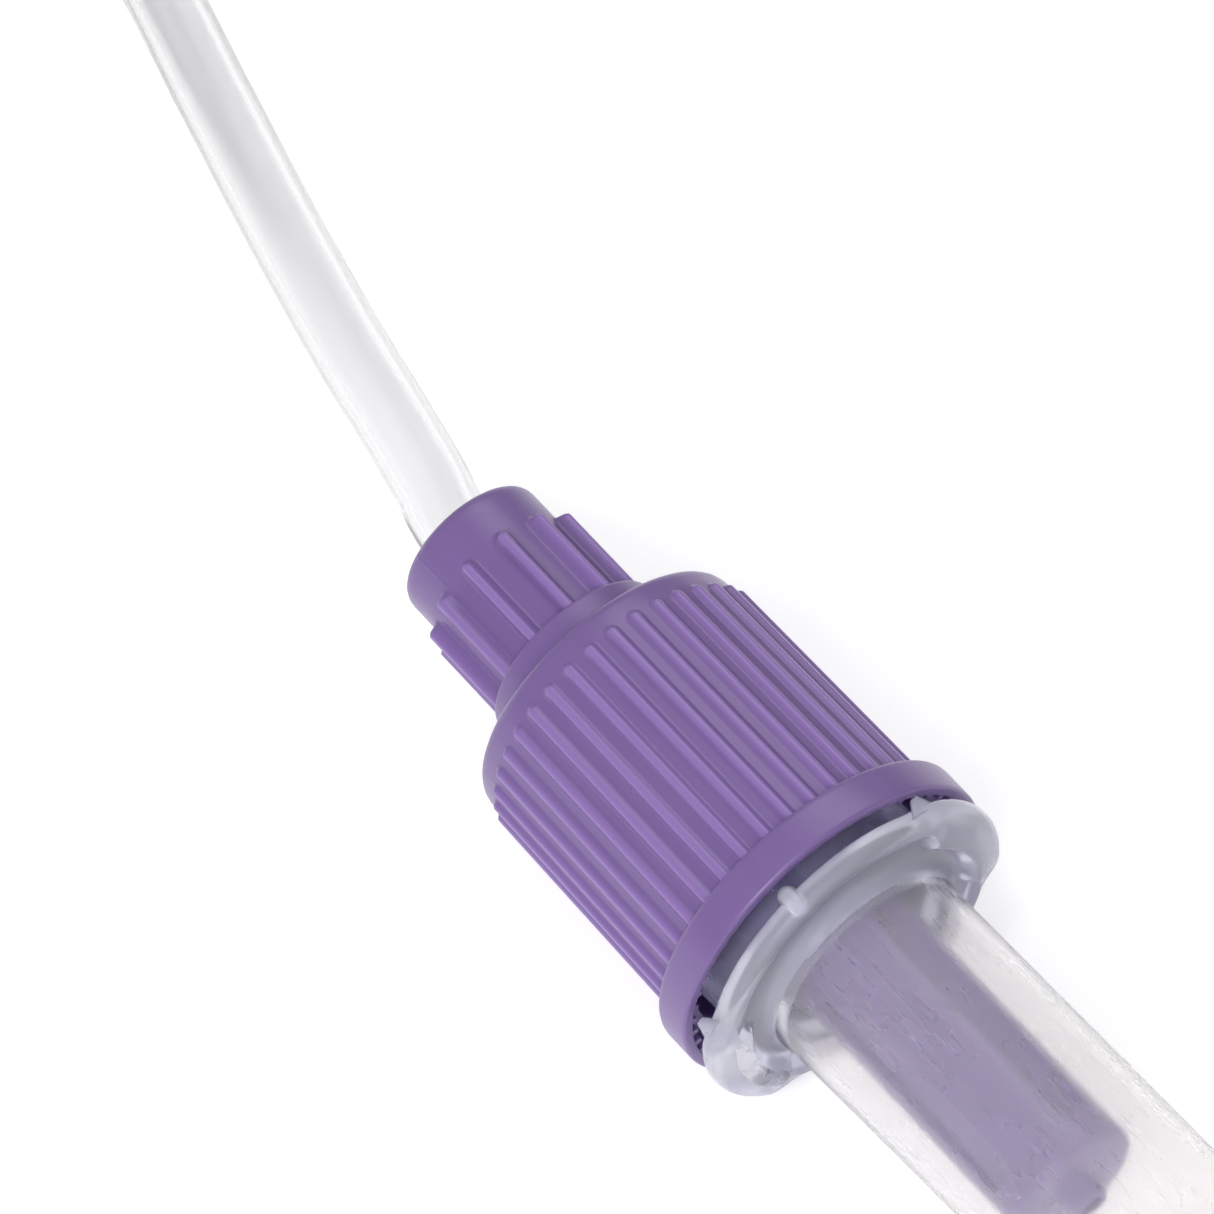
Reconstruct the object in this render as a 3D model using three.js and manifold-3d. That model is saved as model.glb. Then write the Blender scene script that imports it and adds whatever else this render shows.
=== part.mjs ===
// Giving-set connector for enteral feed: a screw cap and spike for a bottle, the spike's cover,
// and a clear tube with a roller clamp and a patient connector. Millimetres, +Z up.
// The head lies on its side with its axis along +X; the tube runs off to -X and is stored in a hank.
import * as THREE from 'three';
import { mergeVertices } from 'three/addons/utils/BufferGeometryUtils.js';
import Module from 'manifold-3d';

const wasm = await Module();
wasm.setup();

// ---- Driving dimensions -------------------------------------------------------------------
const GAP = 0.3; // clearance between neighbouring pieces
const OVERALL = 102.4; // collar end to cover tip
const RIM_R = 17.4;
const RIM_LENGTH = 4;
const RIM_EDGE = 0.7;
const MOUTH_R = 16.3; // counterbore behind the rim
const MOUTH_DEPTH = 2.6;
const MOUTH_TEETH = 48;
const TOOTH = 0.8;
const SKIRT_TOP_R = 15; // between the ribs
const SKIRT_BOTTOM_R = 15.3;
const SKIRT_RIB = 0.55; // how far a rib stands proud
const SKIRT_RIBS = 36;
const SKIRT_RIB_WIDTH = 1.1;
const SKIRT_RIB_FOOT = 0.2; // how deep a rib starts in the skirt
const SKIRT_RIB_TURN = 6; // where the first rib lies, in degrees
const CAP_HEIGHT = 33.5;
const SHOULDER_R = 14.75;
const SHOULDER_EDGE = 0.8;
const SHOULDER_BAND = 2.1; // smooth band above the ribs
const CAP_TOP_WALL = 2;
const CAVITY_R = 13.9;
const THREAD_R = 12.9; // crest of the inner thread
const THREAD_PITCH = 3.2;
const THREAD_TURNS = 1.5;
const THREAD_START = 8; // from the mouth
const THREAD_ROOT = 1.8; // the thread's width at the wall
const THREAD_CREST = 0.7; // and at its crest
const SUNK = 0.4; // how far one shape runs into another that it is joined to
const PAST = 1; // how far a cutting shape runs past what it cuts
const BOSS_R = 9.4;
const BOSS_HEIGHT = 4.4;
const BOSS_EDGE = 0.5;
const COLLAR_R = 7.6;
const COLLAR_LENGTH = 15.7;
const COLLAR_RIB_R = 8.95;
const COLLAR_RIBS = 12;
const COLLAR_RIB_WIDTH = 1.5;
const COLLAR_RIB_FOOT = 0.3;
const COLLAR_RIB_TURN = 2;
const COLLAR_PLAIN = 5.1; // smooth end before the ribs
const COLLAR_EDGE = 1.2;
const TUBE_D = 7.4;
const TUBE_IN_COLLAR = 9;
const SHAFT_R = 5.6; // spike's shaft through the cap
const FLANGE_WALL = 2;
const WASHER_WALL = 1.6;
const SPIKE_R = 6.6;
const SPIKE_REACH = 34.3; // past the mouth
const SPIKE_BORE_R = 1;
const SPIKE_EDGE = 0.6;
const FLUTES = 4;
const FLUTE_TURN = 65; // where the first flute lies, in degrees
const FLUTE_WIDTH = 3.8;
const FLUTE_DEPTH = 1;
const FLUTE_START = 2; // from the mouth
const FLUTE_SHORT = 3.4; // how far it stops before the spike's end
const NIB_R = 1.8;
const NIB_LENGTH = 2.6;
const NIB_EDGE = 0.8;
const COVER_R = 10.4;
const COVER_TIP_R = 10.2;
const COVER_WALL = 1.1;
const COVER_DOME = 5; // the rounded end's depth
const PLUG_LENGTH = 5.5; // inside the mouth
const PLATE_GAP = 1.2; // from the rim to the cover's flange
const PLATE = 2.8;
const BEAD_R = 15.9;
const BEAD_EDGE = 0.7;
const PLUG_LEAD = 0.4; // the plug's end is drawn in, to start it in the mouth
const PLUG_EDGE = 0.6;
const EAR_R = 17.3;
const EAR_ANGLE = 68;
const EAR_STEPS = 8;
const DOME_STEPS = 4;
const NUB_R = 0.85;
const NUB_REACH = 1; // past the back of the flange
const EAR_NUB_REACH = 0.7;
const NUBS = 6;
const COVER_TURN = 25; // how far the cover is turned about the axis at rest, in degrees
const COVER_LEAN = [-0.55, 1.36]; // it sits a little crooked: degrees about Y and Z

const CLAMP_LENGTH = 42;
const CLAMP_WIDTH = 15.4;
const CLAMP_HEIGHT = 17.5;
const CLAMP_WALL = 1.8;
const CLAMP_FLOOR = 2;
const ROLLER_R = 5;
const ROLLER_PIN_R = 1.5;
const ROLLER_TEETH = 18;
const ROLLER_TOOTH = 0.4;
const ROLLER_TOOTH_WIDTH = 1.1;
const ROLLER_TRAVEL_X = 26; // along the clamp, from open to closed
const PINCHED = 2.6; // tube's height when it is shut

const HUB_R = 5.2;
const HUB_LENGTH = 15;
const HUB_EDGE = 0.8;
const HUB_FLANGE_LENGTH = 2;
const HUB_FLANGE_STEP = 0.6;
const FIN = 0.9; // how far a grip fin stands proud of the hub
const FIN_WIDTH = 1.4;
const TUBE_IN_HUB = 9;
const HUB_FLANGE_R = 6;
const NOZZLE_R = 2.9;
const NOZZLE_LENGTH = 12;
const NOZZLE_TAPER = 0.4;
const NOZZLE_BORE_R = 1.4;
const LOCK_R = 7.2;
const LOCK_LENGTH = 12.5;
const LOCK_WALL = 1.5;
const LOCK_RIBS = 10;
const LOCK_RIB = 0.5;
const LOCK_RIB_WIDTH = 2;
const LOCK_FLOOR = 1.5;
const END_CAP_R = 4.4;
const END_CAP_STOP = 1.6; // the flange that meets the lock ring's mouth
const END_CAP_GRIP = 5;
const GRIP_WALL = 2;
const GRIP_SUNK = 0.5;

// ---- Where things lie -----------------------------------------------------------------------
const TUBE_R = TUBE_D / 2;
const AXIS_Z = RIM_R;
const BOSS_END = CAP_HEIGHT + BOSS_HEIGHT;
const COLLAR_FOOT = BOSS_END + GAP;
const COLLAR_END = COLLAR_FOOT + COLLAR_LENGTH;
const COVER_TIP = OVERALL - COLLAR_END; // from the mouth
const MOUTH_X = (COLLAR_END - COVER_TIP) / 2; // the origin is under the middle of the head
const FLANGE_TOP = CAP_HEIGHT - CAP_TOP_WALL - GAP;
const WASHER_TOP = FLANGE_TOP - FLANGE_WALL - GAP;
const FLANGE_R = THREAD_R - GAP;
const TUBE_END = COLLAR_END - TUBE_IN_COLLAR; // the tube stops here inside the collar
const SHAFT_TOP = TUBE_END - GAP;

// The hank: two layers of two runs on each side, an oval wound flat behind the head.
const PITCH = TUBE_D + 0.1;
const HANK_NEAR_X = -178;
const HANK_RUN = 104;
const HANK_INNER = 3 * TUBE_D; // bend at the middle of the inner turn
const TIE = 0.6;
const TIE_WIDTH = 4;
const HANK_BASE = TIE + GAP;
const HANK_TOP = HANK_BASE + 2 * PITCH;
const HANK_MID = HANK_INNER + PITCH / 2;
const HANK_HALF = PITCH + GAP / 2;
const CLAMP_Z = HANK_TOP + GAP;
const CLAMP_MIDDLE_X = -252;
const CLAMP_TUBE_Z = CLAMP_Z + CLAMP_FLOOR + GAP + TUBE_R;
const TAIL_Y = -HANK_MID;
const HUB_X = -216; // where the tube meets the patient connector
const HUB_Z = HANK_TOP + GAP + LOCK_R;

// The tube from the collar to the hank, chosen by hand: x, y, z.
const LEAD = [
  [-51.2, 0, 17.4], [-55.5, 0.8, 16.8], [-59.5, 2.2, 15.9], [-65.2, 3.8, 14.7], [-70.9, 5.3, 13.5],
  [-76.7, 6.8, 12.2], [-82.4, 8.4, 10.9], [-88.2, 10.1, 9.7], [-93.9, 11.8, 8.5], [-99.5, 13.5, 7.4],
  [-105, 15.2, 6.4], [-110.5, 16.9, 5.5], [-115.9, 18.5, 4.8], [-121.2, 20.1, 4.3],
  [-126.5, 21.6, 4], [-136, 24.1, 3.9], [-146, 26.4, 4.1], [-151.5, 27.5, 4.3],
];

// ---- Helpers ----------------------------------------------------------------------------------
const solidOf = (geometry) => {
  const bare = geometry.clone();
  bare.deleteAttribute('normal');
  bare.deleteAttribute('uv');
  const merged = mergeVertices(bare, 1e-4);
  const triVerts = new Uint32Array(merged.index.array);
  const vertProperties = new Float32Array(merged.attributes.position.array);
  let volume = 0;
  for (let t = 0; t < triVerts.length; t += 3) {
    const [a, b, c] = [0, 1, 2].map((k) => new THREE.Vector3().fromArray(vertProperties, 3 * triVerts[t + k]));
    volume += a.dot(b.cross(c));
  }
  if (volume < 0) triVerts.reverse();
  return new wasm.Manifold(new wasm.Mesh({ numProp: 3, vertProperties, triVerts }));
};

const geometryOf = (solid) => {
  const { vertProperties, triVerts } = solid.getMesh();
  const geometry = new THREE.BufferGeometry();
  geometry.setAttribute('position', new THREE.BufferAttribute(new Float32Array(vertProperties), 3));
  geometry.setIndex(new THREE.BufferAttribute(new Uint32Array(triVerts), 1));
  geometry.computeVertexNormals();
  return geometry;
};

// Turns an outline of [radius, along] about the X axis. The outline closes on itself.
const turned = (outline, sides = 72) => {
  const points = outline.map(([r, along]) => new THREE.Vector2(Math.max(r, 0), along));
  if (outline[0][0] > 0 || outline.at(-1)[0] > 0) points.push(points[0].clone());
  return solidOf(new THREE.LatheGeometry(points, sides).rotateZ(-Math.PI / 2));
};

// A rod about the X axis from one place to another, with a flat at each end.
const rod = (radius, from, to, sides = 36) =>
  turned([[0, from], [radius, from], [radius, to], [0, to]], sides);

const block = (x0, x1, y0, y1, z0, z1) =>
  solidOf(new THREE.BoxGeometry(x1 - x0, y1 - y0, z1 - z0).translate((x0 + x1) / 2, (y0 + y1) / 2, (z0 + z1) / 2));

// A section in the YZ plane carried along X, growing evenly from 1 to grow.
const carried = (section, from, to, grow = 1) => {
  const shape = new THREE.Shape(section.map(([y, z]) => new THREE.Vector2(y, z)));
  const geometry = new THREE.ExtrudeGeometry(shape, { depth: to - from, bevelEnabled: false, steps: 1 });
  const at = geometry.attributes.position;
  for (let i = 0; i < at.count; i += 1) {
    const scale = 1 + (grow - 1) * (at.getZ(i) / (to - from));
    at.setXYZ(i, at.getZ(i) + from, at.getX(i) * scale, at.getY(i) * scale);
  }
  return solidOf(geometry);
};

const polar = (radius, angle) => [radius * Math.cos(angle), radius * Math.sin(angle)];
const degrees = THREE.MathUtils.degToRad;

// A ribbed outline: a round with evenly spaced ribs that are narrower at their crests.
const ribbed = (root, crest, count, width, first = 0) => {
  const points = [];
  for (let i = 0; i < count; i += 1) {
    const middle = degrees(first) + (2 * Math.PI * i) / count;
    const foot = width / 2 / root;
    const top = width / 4 / crest;
    points.push(polar(root, middle - foot), polar(crest, middle - top));
    points.push(polar(crest, middle + top), polar(root, middle + foot));
  }
  return points;
};

const union = (...solids) => solids.reduce((a, b) => a.add(b));
const group = new THREE.Group();

const add = (name, solid, colour, roughness = 0.45, metalness = 0) => {
  const material = new THREE.MeshStandardMaterial({ color: colour, roughness, metalness });
  const mesh = new THREE.Mesh(geometryOf(solid), material);
  mesh.name = name;
  group.add(mesh);
};

// A tube through points, with a flat at each end.
const tube = (points, radius, steps, sides = 10) => {
  const curve = new THREE.CatmullRomCurve3(points.map((p) => new THREE.Vector3(...p)), false, 'centripetal');
  const corner = (_, i) => new THREE.Vector2(...polar(radius, (2 * Math.PI * i) / sides));
  const ring = new THREE.Shape(Array.from({ length: sides }, corner));
  return solidOf(new THREE.ExtrudeGeometry(ring, { steps, extrudePath: curve, bevelEnabled: false }));
};

const PURPLE = 0x7d659f;
const CLEAR = 0xe4e4e6;
const FROSTED = 0xd9d7de;
const WHITE = 0xf2f2f0;

// Distances along the head are from the mouth, positive towards the cover's tip.
const head = new THREE.Vector3(MOUTH_X, 0, AXIS_Z);
const onHead = (solid) => solid.translate([head.x, head.y, head.z]);

// ---- Screw cap --------------------------------------------------------------------------------
const ribTop = CAP_HEIGHT - SHOULDER_BAND - SHOULDER_EDGE;

const screwCap = () => {
  const edge = 0.3 * SHOULDER_EDGE;
  const shell = turned([
    [0, -BOSS_END], [BOSS_R - BOSS_EDGE, -BOSS_END], [BOSS_R, -BOSS_END + BOSS_EDGE],
    [BOSS_R, -CAP_HEIGHT], [SHOULDER_R - SHOULDER_EDGE, -CAP_HEIGHT], [SHOULDER_R - edge, -CAP_HEIGHT + edge],
    [SHOULDER_R, -CAP_HEIGHT + SHOULDER_EDGE], [SKIRT_TOP_R, -ribTop], [SKIRT_BOTTOM_R, -RIM_LENGTH],
    [RIM_R - RIM_EDGE, -RIM_LENGTH], [RIM_R, -RIM_LENGTH + RIM_EDGE], [RIM_R, -RIM_EDGE / 2],
    [RIM_R - RIM_EDGE / 2, 0], [0, 0],
  ]);
  const growth = SKIRT_BOTTOM_R / SKIRT_TOP_R;
  const [foot, crest] = [SKIRT_TOP_R - SKIRT_RIB_FOOT, SKIRT_TOP_R + SKIRT_RIB];
  const section = ribbed(foot, crest, SKIRT_RIBS, SKIRT_RIB_WIDTH, SKIRT_RIB_TURN);
  const ribs = carried(section, -ribTop, -RIM_LENGTH + RIM_EDGE, growth);
  const cavity = rod(CAVITY_R, -CAP_HEIGHT + CAP_TOP_WALL, PAST, 72);
  const hole = rod(SHAFT_R + GAP, -BOSS_END - PAST, -CAP_HEIGHT + CAP_TOP_WALL + PAST, 48);
  const teeth = [];
  for (let i = 0; i < MOUTH_TEETH; i += 1) {
    const step = (2 * Math.PI) / MOUTH_TEETH;
    teeth.push(polar(MOUTH_R, i * step), polar(MOUTH_R, (i + 0.5) * step));
    teeth.push(polar(MOUTH_R - TOOTH, (i + 0.75) * step));
  }
  const mouth = carried(teeth, -MOUTH_DEPTH, PAST);
  const [steps, wall] = [54, CAVITY_R + SUNK];
  const profile = [[-THREAD_ROOT, wall], [THREAD_ROOT, wall], [THREAD_CREST, THREAD_R], [-THREAD_CREST, THREAD_R]];
  const positions = [];
  for (let i = 0; i <= steps; i += 1) {
    const turns = (THREAD_TURNS * i) / steps;
    for (const [width, radius] of profile) {
      const [y, z] = polar(radius, 2 * Math.PI * turns);
      positions.push(width / 2 - THREAD_START - THREAD_PITCH * turns, y, z);
    }
  }
  const faces = [[0, 1, 2], [0, 2, 3]];
  const last = 4 * steps;
  faces.push([last, last + 2, last + 1], [last, last + 3, last + 2]);
  for (let i = 0; i < steps; i += 1) {
    for (let j = 0; j < 4; j += 1) {
      const [a, b] = [4 * i + j, 4 * i + ((j + 1) % 4)];
      faces.push([a, a + 4, b], [b, a + 4, b + 4]);
    }
  }
  const thread = new THREE.BufferGeometry();
  thread.setAttribute('position', new THREE.Float32BufferAttribute(positions, 3));
  thread.setIndex(faces.flat());
  return union(shell, ribs).subtract(union(cavity, hole, mouth)).add(solidOf(thread));
};

// ---- Collar, spike and washer -------------------------------------------------------------------
const ribbedCollar = () => {
  const edge = 0.3 * COLLAR_EDGE;
  const body = turned([
    [0, -COLLAR_END], [COLLAR_R - COLLAR_EDGE, -COLLAR_END], [COLLAR_R - edge, -COLLAR_END + edge],
    [COLLAR_R, -COLLAR_END + COLLAR_EDGE], [COLLAR_R, -COLLAR_FOOT], [0, -COLLAR_FOOT],
  ], 48);
  const [start, foot] = [-COLLAR_END + COLLAR_PLAIN, COLLAR_R - COLLAR_RIB_FOOT];
  const section = ribbed(foot, COLLAR_RIB_R, COLLAR_RIBS, COLLAR_RIB_WIDTH, COLLAR_RIB_TURN);
  const ribs = carried(section, start, -COLLAR_FOOT);
  const socket = rod(TUBE_R + GAP, -COLLAR_END - PAST, -SHAFT_TOP, 36);
  const seat = rod(SHAFT_R + GAP, -SHAFT_TOP - GAP, -COLLAR_FOOT + PAST, 48);
  return union(body, ribs).subtract(union(socket, seat));
};

const spike = () => {
  const tip = SPIKE_REACH + NIB_LENGTH;
  const shaft = rod(SHAFT_R, -SHAFT_TOP + GAP, -FLANGE_TOP + 0.5, 48);
  const flange = rod(FLANGE_R, -FLANGE_TOP, -FLANGE_TOP + FLANGE_WALL, 60);
  const barrel = turned([
    [0, -FLANGE_TOP + PAST], [SPIKE_R, -FLANGE_TOP + PAST], [SPIKE_R, SPIKE_REACH - SPIKE_EDGE],
    [SPIKE_R - SPIKE_EDGE, SPIKE_REACH], [NIB_R, SPIKE_REACH + SPIKE_EDGE], [NIB_R, tip - NIB_EDGE],
    [NIB_R - NIB_EDGE, tip], [0, tip],
  ], 48);
  const [floor, over] = [SPIKE_R - FLUTE_DEPTH, SPIKE_R + 2 * PAST];
  const [start, stop, half] = [FLUTE_START, SPIKE_REACH - FLUTE_SHORT, FLUTE_WIDTH / 2];
  const flute = block(start, stop, floor, over, -half, half);
  const bore = rod(SPIKE_BORE_R, -SHAFT_TOP - PAST, tip + PAST, 16);
  let solid = union(shaft, flange, barrel).subtract(bore);
  for (let i = 0; i < FLUTES; i += 1) {
    solid = solid.subtract(flute.rotate([FLUTE_TURN + (360 / FLUTES) * i, 0, 0]));
  }
  return solid;
};

const sealingWasher = () => {
  const [inner, top, bottom] = [SPIKE_R + GAP, -WASHER_TOP, -WASHER_TOP + WASHER_WALL];
  return turned([[inner, top], [FLANGE_R, top], [FLANGE_R, bottom], [inner, bottom]], 60);
};

// ---- Cover --------------------------------------------------------------------------------------
const cover = () => {
  const [back, front] = [PLATE_GAP, PLATE_GAP + PLATE];
  const [plugR, open] = [THREAD_R - GAP, -PLUG_LENGTH - PAST];
  const bore = COVER_R - COVER_WALL;
  const outside = [[0, -PLUG_LENGTH], [plugR - PLUG_LEAD, -PLUG_LENGTH], [plugR, -PLUG_LENGTH + PLUG_EDGE]];
  outside.push([plugR, back], [BEAD_R - BEAD_EDGE, back], [BEAD_R, back + BEAD_EDGE]);
  outside.push([BEAD_R, front - 1], [BEAD_R - 0.9, front - 0.1]);
  outside.push([COVER_R + 2.4, front - 0.4], [COVER_R + 0.8, front + 0.3], [COVER_R, front + 1.2]);
  const inside = [];
  const domeStart = COVER_TIP - COVER_DOME;
  for (let i = 0; i <= DOME_STEPS; i += 1) {
    const [across, up] = polar(1, (Math.PI / 2) * (i / DOME_STEPS));
    outside.push([COVER_TIP_R * across, domeStart + COVER_DOME * up]);
    inside.push([(COVER_TIP_R - COVER_WALL) * across, domeStart + (COVER_DOME - COVER_WALL) * up]);
  }
  const plate = turned(outside, 48);
  const hollow = turned([[0, open], [bore, open], [bore, front + PAST], ...inside], 48);
  const ears = [0, 180].map((middle) => {
    const first = middle - EAR_ANGLE / 2;
    const arc = [polar(COVER_R + PAST, degrees(first))];
    for (let i = 0; i <= EAR_STEPS; i += 1) {
      arc.push(polar(EAR_R, degrees(first + (EAR_ANGLE * i) / EAR_STEPS)));
    }
    arc.push(polar(COVER_R + PAST, degrees(first + EAR_ANGLE)));
    arc.push(polar(COVER_R + 0.5, degrees(middle)));
    return carried(arc, back, front - 0.2);
  });
  const earEdge = turned([
    [0, back - PAST], [EAR_R, back - PAST], [EAR_R, front - 1.2], [EAR_R - 1.6, front - 0.3], [0, front],
  ], 48);
  const nubs = Array.from({ length: NUBS }, (_, i) => {
    const atEar = i % 3 !== 1; // the middle one of each three stands between the ears
    const [y, z] = polar((atEar ? EAR_R : BEAD_R) - NUB_R, degrees((360 / NUBS) * (i + 0.5)));
    return rod(NUB_R, back - (atEar ? EAR_NUB_REACH : NUB_REACH), front, 10).translate([0, y, z]);
  });
  const turnedEars = union(...ears).intersect(earEdge);
  const solid = union(plate, turnedEars, ...nubs).subtract(hollow);
  return solid.rotate([COVER_TURN, 0, 0]).rotate([0, ...COVER_LEAN]);
};

// ---- Tube, hank and ties -------------------------------------------------------------------------
const oval = (radius) => {
  const points = [];
  const far = HANK_NEAR_X - HANK_RUN;
  for (let i = 0; i <= 16; i += 1) {
    const [x, y] = polar(radius, degrees(-90 + (180 * i) / 16));
    points.push(new THREE.Vector2(HANK_NEAR_X + x, y));
  }
  for (let i = 0; i <= 16; i += 1) {
    const [x, y] = polar(radius, degrees(90 + (180 * i) / 16));
    points.push(new THREE.Vector2(far + x, y));
  }
  return points;
};

const hank = () => {
  const shape = new THREE.Shape(oval(HANK_MID + HANK_HALF));
  shape.holes.push(new THREE.Path(oval(HANK_MID - HANK_HALF)));
  const depth = HANK_TOP - HANK_BASE;
  return solidOf(new THREE.ExtrudeGeometry(shape, { depth, bevelEnabled: false }).translate(0, 0, HANK_BASE));
};

const tie = (x, side) => {
  const [y0, y1] = [HANK_MID - HANK_HALF - GAP, HANK_MID + HANK_HALF + GAP];
  const top = HANK_TOP + GAP;
  const outer = block(x - TIE_WIDTH / 2, x + TIE_WIDTH / 2, y0 - TIE, y1 + TIE, 0, top + TIE);
  const inner = block(x - TIE_WIDTH, x + TIE_WIDTH, y0, y1, TIE, top);
  const band = outer.subtract(inner);
  return side > 0 ? band : band.mirror([0, 1, 0]);
};

const CLAMP_IN = CLAMP_MIDDLE_X - CLAMP_LENGTH / 2;
const CLAMP_OUT = CLAMP_MIDDLE_X + CLAMP_LENGTH / 2;
const TAIL_REST_Z = HANK_TOP + GAP + TUBE_R;
const tailArc = (angle, z) => {
  const [x, y] = polar(HANK_MID, degrees(angle));
  return [HANK_NEAR_X - HANK_RUN + x, y, z];
};
const TAIL = [
  tailArc(205, TAIL_REST_Z), tailArc(225, TAIL_REST_Z + 0.6), tailArc(250, TAIL_REST_Z + 1.7),
  [CLAMP_IN - 5, TAIL_Y, CLAMP_TUBE_Z], [CLAMP_IN - GAP, TAIL_Y, CLAMP_TUBE_Z],
];
const CLAMPED = [[CLAMP_IN, TAIL_Y, CLAMP_TUBE_Z], [CLAMP_OUT, TAIL_Y, CLAMP_TUBE_Z]];
const END = [
  [CLAMP_OUT + GAP, TAIL_Y, CLAMP_TUBE_Z], [CLAMP_OUT + 4, TAIL_Y, CLAMP_TUBE_Z],
  [HUB_X - 2, TAIL_Y, HUB_Z], [HUB_X + TUBE_IN_HUB, TAIL_Y, HUB_Z],
];

// ---- Roller clamp ---------------------------------------------------------------------------------
const ROLLER_OPEN_Z = CLAMP_TUBE_Z + TUBE_R + GAP + ROLLER_R;
const ROLLER_SHUT_Z = CLAMP_Z + CLAMP_FLOOR + PINCHED + ROLLER_R;
const ROLLER_OPEN_X = CLAMP_MIDDLE_X - ROLLER_TRAVEL_X / 2;
const SLOT_R = ROLLER_PIN_R + GAP;

const clampBody = () => {
  const half = CLAMP_WIDTH / 2;
  const top = CLAMP_Z + CLAMP_HEIGHT;
  const outline = new THREE.Shape([
    [CLAMP_IN, CLAMP_Z], [CLAMP_OUT, CLAMP_Z], [CLAMP_OUT, top - 5], [CLAMP_OUT - 3, top - 2.5],
    [CLAMP_IN + 5, top], [CLAMP_IN + 1.5, top - 1.5], [CLAMP_IN, top - 4],
  ].map((p) => new THREE.Vector2(...p)));
  const angle = Math.atan2(ROLLER_SHUT_Z - ROLLER_OPEN_Z, ROLLER_TRAVEL_X);
  const slot = [];
  for (let i = 0; i <= 8; i += 1) {
    const [x, z] = polar(SLOT_R, angle + degrees(90 + (180 * i) / 8));
    slot.push(new THREE.Vector2(ROLLER_OPEN_X + x, ROLLER_OPEN_Z + z));
  }
  for (let i = 0; i <= 8; i += 1) {
    const [x, z] = polar(SLOT_R, angle + degrees(-90 + (180 * i) / 8));
    slot.push(new THREE.Vector2(ROLLER_OPEN_X + ROLLER_TRAVEL_X + x, ROLLER_SHUT_Z + z));
  }
  outline.holes.push(new THREE.Path(slot));
  const wall = new THREE.ExtrudeGeometry(outline, { depth: CLAMP_WALL, bevelEnabled: false }).rotateX(Math.PI / 2);
  const left = solidOf(wall.clone().translate(0, TAIL_Y + half, 0));
  const right = solidOf(wall.clone().translate(0, TAIL_Y - half + CLAMP_WALL, 0));
  const floor = block(CLAMP_IN, CLAMP_OUT, TAIL_Y - half, TAIL_Y + half, CLAMP_Z, CLAMP_Z + CLAMP_FLOOR);
  return union(left, right, floor);
};

const roller = () => {
  const half = CLAMP_WIDTH / 2 - CLAMP_WALL - GAP;
  const teeth = ribbed(ROLLER_R - ROLLER_TOOTH, ROLLER_R, ROLLER_TEETH, ROLLER_TOOTH_WIDTH);
  const wheel = carried(teeth, -half, half);
  const pins = rod(ROLLER_PIN_R, -CLAMP_WIDTH / 2, CLAMP_WIDTH / 2, 24);
  return union(wheel, pins).rotate([0, 0, 90]).translate([ROLLER_OPEN_X, TAIL_Y, ROLLER_OPEN_Z]);
};

// ---- Patient connector ----------------------------------------------------------------------------
const onHub = (solid) => solid.translate([HUB_X, TAIL_Y, HUB_Z]);

const connectorHub = () => {
  const [flange, tip] = [HUB_LENGTH - HUB_FLANGE_LENGTH, HUB_LENGTH + NOZZLE_LENGTH];
  const flangeR = HUB_FLANGE_R - GAP - HUB_FLANGE_STEP;
  const finR = HUB_R + FIN;
  const body = turned([
    [0, 0], [HUB_R - HUB_EDGE, 0], [HUB_R, HUB_EDGE], [HUB_R, flange], [flangeR, flange],
    [flangeR, HUB_LENGTH], [NOZZLE_R, HUB_LENGTH], [NOZZLE_R - NOZZLE_TAPER, tip], [0, tip],
  ], 36);
  const fins = block(2 * PAST, flange - HUB_FLANGE_STEP, -finR, finR, -FIN_WIDTH / 2, FIN_WIDTH / 2);
  const socket = rod(TUBE_R + GAP, -PAST, TUBE_IN_HUB + GAP, 36);
  const bore = rod(NOZZLE_BORE_R, TUBE_IN_HUB, tip + PAST, 16);
  return onHub(union(body, fins).subtract(union(socket, bore)));
};

const LOCK_START = HUB_LENGTH + GAP;
const LOCK_END = LOCK_START + LOCK_LENGTH;

const lockRing = () => {
  const outside = carried(ribbed(LOCK_R - LOCK_RIB, LOCK_R, LOCK_RIBS, LOCK_RIB_WIDTH), LOCK_START, LOCK_END);
  const bore = rod(LOCK_R - LOCK_WALL - LOCK_RIB, LOCK_START + LOCK_FLOOR, LOCK_END + PAST, 36);
  const hole = rod(NOZZLE_R + GAP, LOCK_START - PAST, LOCK_START + LOCK_FLOOR + PAST, 36);
  return onHub(outside.subtract(union(bore, hole)));
};

const endCap = () => {
  const start = LOCK_START + LOCK_FLOOR + GAP;
  const mouth = LOCK_END + GAP;
  const grip = mouth + END_CAP_STOP;
  const body = rod(END_CAP_R, start, grip, 36);
  const stop = rod(END_CAP_R + END_CAP_STOP, mouth, grip, 36);
  const [from, to] = [grip - GRIP_SUNK, grip + END_CAP_GRIP];
  const tab = block(from, to, -END_CAP_R, END_CAP_R, -GRIP_WALL / 2, GRIP_WALL / 2);
  const hollow = rod(NOZZLE_R + GAP, start - PAST, HUB_LENGTH + NOZZLE_LENGTH + GAP, 36);
  return onHub(union(body, stop, tab).subtract(hollow));
};

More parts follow.
